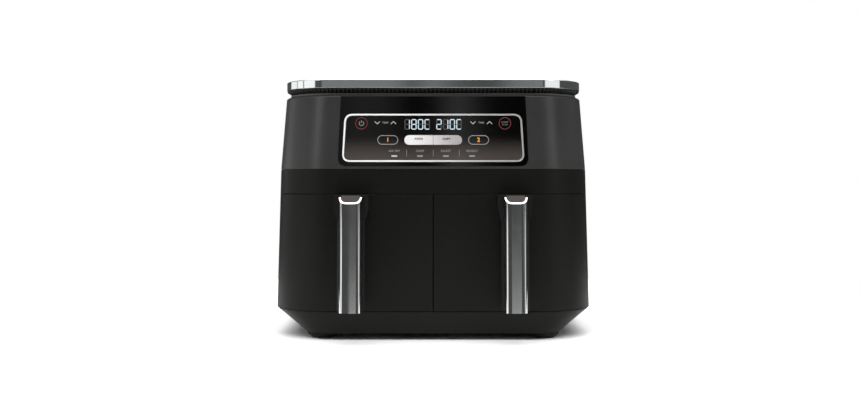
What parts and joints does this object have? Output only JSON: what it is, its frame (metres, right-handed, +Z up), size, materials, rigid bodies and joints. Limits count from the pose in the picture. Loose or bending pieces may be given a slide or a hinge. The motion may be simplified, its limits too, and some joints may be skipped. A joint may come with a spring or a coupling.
{
  "type": "air fryer",
  "caption": "Countertop air fryer with side-by-side pull-out drawers, upright chrome handles, lift-out crisper plates and a control panel of spring keys.",
  "frame": {"origin": "on the table under the middle of the bounding box, handles and rear spacers included", "axes": "+Z up, -Y the front with the drawers and control panel, +X to the right as seen from the front"},
  "size_m": [0.395, 0.352, 0.315],
  "materials": {
    "upper_shell": "matte charcoal grey moulded plastic",
    "black_shell": "matte black moulded plastic",
    "gloss_black": "polished black",
    "rim_chrome": "bright dark chrome plating",
    "trim_silver": "satin silver plating",
    "rubber": "moulded black rubber",
    "circuit": "green solder mask",
    "display_body": "smoked lens",
    "steel": "plain rolled sheet steel",
    "heater_sheath": "oxidised steel sheath",
    "fan_plastic": "moulded black plastic",
    "pan_coating": "dark non-stick coating on steel",
    "drawer_black": "matte black moulded plastic",
    "handle_black": "satin black moulded plastic",
    "handle_chrome": "dark chrome plating",
    "handle_insert": "satin dark brown plastic",
    "silicone": "black silicone"
  },
  "bodies": {
    "housing": {"base_tray": "black_shell", "bezel_trim": "trim_silver", "cavity_liner_left": "steel", "cavity_liner_right": "steel", "control_board": "circuit", "control_fascia": "gloss_black", "cord_gland": "rubber", "display_module": "display_body", "fan_motor_left": "steel", "fan_motor_right": "steel", "foot_front_left": "rubber", "foot_front_right": "rubber", "foot_rear_left": "rubber", "foot_rear_right": "rubber", "heater_guard_left": "steel", "heater_guard_right": "steel", "heater_left": "heater_sheath", "heater_right": "heater_sheath", "lower_housing": "black_shell", "power_board": "circuit", "rear_cover": "black_shell", "thermostat_left": "steel", "thermostat_right": "steel", "top_cover": "gloss_black", "top_ring": "rim_chrome", "upper_housing": "upper_shell", "vent_grille": "black_shell"},
    "drawer_left": {"drawer_pan_left": "pan_coating", "drawer_front_left": "drawer_black", "handle_core_left": "handle_black", "handle_cover_left": "handle_chrome", "handle_cap_left": "handle_insert"},
    "crisper_left": {"crisper_plate_left": "pan_coating", "crisper_bumper_left_1": "silicone", "crisper_bumper_left_2": "silicone", "crisper_bumper_left_3": "silicone", "crisper_bumper_left_4": "silicone"},
    "fan_left": {"convection_fan_left": "steel", "cooling_fan_left": "fan_plastic", "fan_shaft_left": "steel"},
    "drawer_right": {"drawer_pan_right": "pan_coating", "drawer_front_right": "drawer_black", "handle_core_right": "handle_black", "handle_cover_right": "handle_chrome", "handle_cap_right": "handle_insert"},
    "crisper_right": {"crisper_plate_right": "pan_coating", "crisper_bumper_right_1": "silicone", "crisper_bumper_right_2": "silicone", "crisper_bumper_right_3": "silicone", "crisper_bumper_right_4": "silicone"},
    "fan_right": {"convection_fan_right": "steel", "cooling_fan_right": "fan_plastic", "fan_shaft_right": "steel"},
    "power_key_cap": {"power_key": "gloss_black"},
    "start_stop_key_cap": {"start_stop_key": "gloss_black"},
    "zone_1_key_cap": {"zone_1_key": "gloss_black"},
    "zone_2_key_cap": {"zone_2_key": "gloss_black"},
    "both_key_cap": {"both_key": "trim_silver"},
    "copy_key_cap": {"copy_key": "trim_silver"}
  },
  "joints": [
    {"name": "drawer_left_slide", "type": "slide", "parent": "housing", "child": "drawer_left", "axis": [0, -1, 0], "range_m": [0, 0.2]},
    {"name": "crisper_left_lift", "type": "slide", "parent": "drawer_left", "child": "crisper_left", "axis": [0, 0, 1], "range_m": [0, 0.085]},
    {"name": "fan_left_spin", "type": "hinge", "parent": "housing", "child": "fan_left", "pos_m": [-0.095, 0.02, 0.23], "axis": [0, 0, 1], "continuous": true},
    {"name": "drawer_right_slide", "type": "slide", "parent": "housing", "child": "drawer_right", "axis": [0, -1, 0], "range_m": [0, 0.2]},
    {"name": "crisper_right_lift", "type": "slide", "parent": "drawer_right", "child": "crisper_right", "axis": [0, 0, 1], "range_m": [0, 0.085]},
    {"name": "fan_right_spin", "type": "hinge", "parent": "housing", "child": "fan_right", "pos_m": [0.095, 0.02, 0.23], "axis": [0, 0, 1], "continuous": true},
    {"name": "power_key_press", "type": "slide", "parent": "housing", "child": "power_key_cap", "axis": [0, 0.995, -0.0995], "range_m": [0, 0.0008], "stiffness_N_per_m": 1500, "springref_m": -0.0004},
    {"name": "start_stop_key_press", "type": "slide", "parent": "housing", "child": "start_stop_key_cap", "axis": [0, 0.995, -0.0995], "range_m": [0, 0.0008], "stiffness_N_per_m": 1500, "springref_m": -0.0004},
    {"name": "zone_1_key_press", "type": "slide", "parent": "housing", "child": "zone_1_key_cap", "axis": [0, 0.995, -0.0995], "range_m": [0, 0.0008], "stiffness_N_per_m": 1500, "springref_m": -0.0004},
    {"name": "zone_2_key_press", "type": "slide", "parent": "housing", "child": "zone_2_key_cap", "axis": [0, 0.995, -0.0995], "range_m": [0, 0.0008], "stiffness_N_per_m": 1500, "springref_m": -0.0004},
    {"name": "both_key_press", "type": "slide", "parent": "housing", "child": "both_key_cap", "axis": [0, 0.995, -0.0995], "range_m": [0, 0.0008], "stiffness_N_per_m": 1500, "springref_m": -0.0004},
    {"name": "copy_key_press", "type": "slide", "parent": "housing", "child": "copy_key_cap", "axis": [0, 0.995, -0.0995], "range_m": [0, 0.0008], "stiffness_N_per_m": 1500, "springref_m": -0.0004}
  ]
}
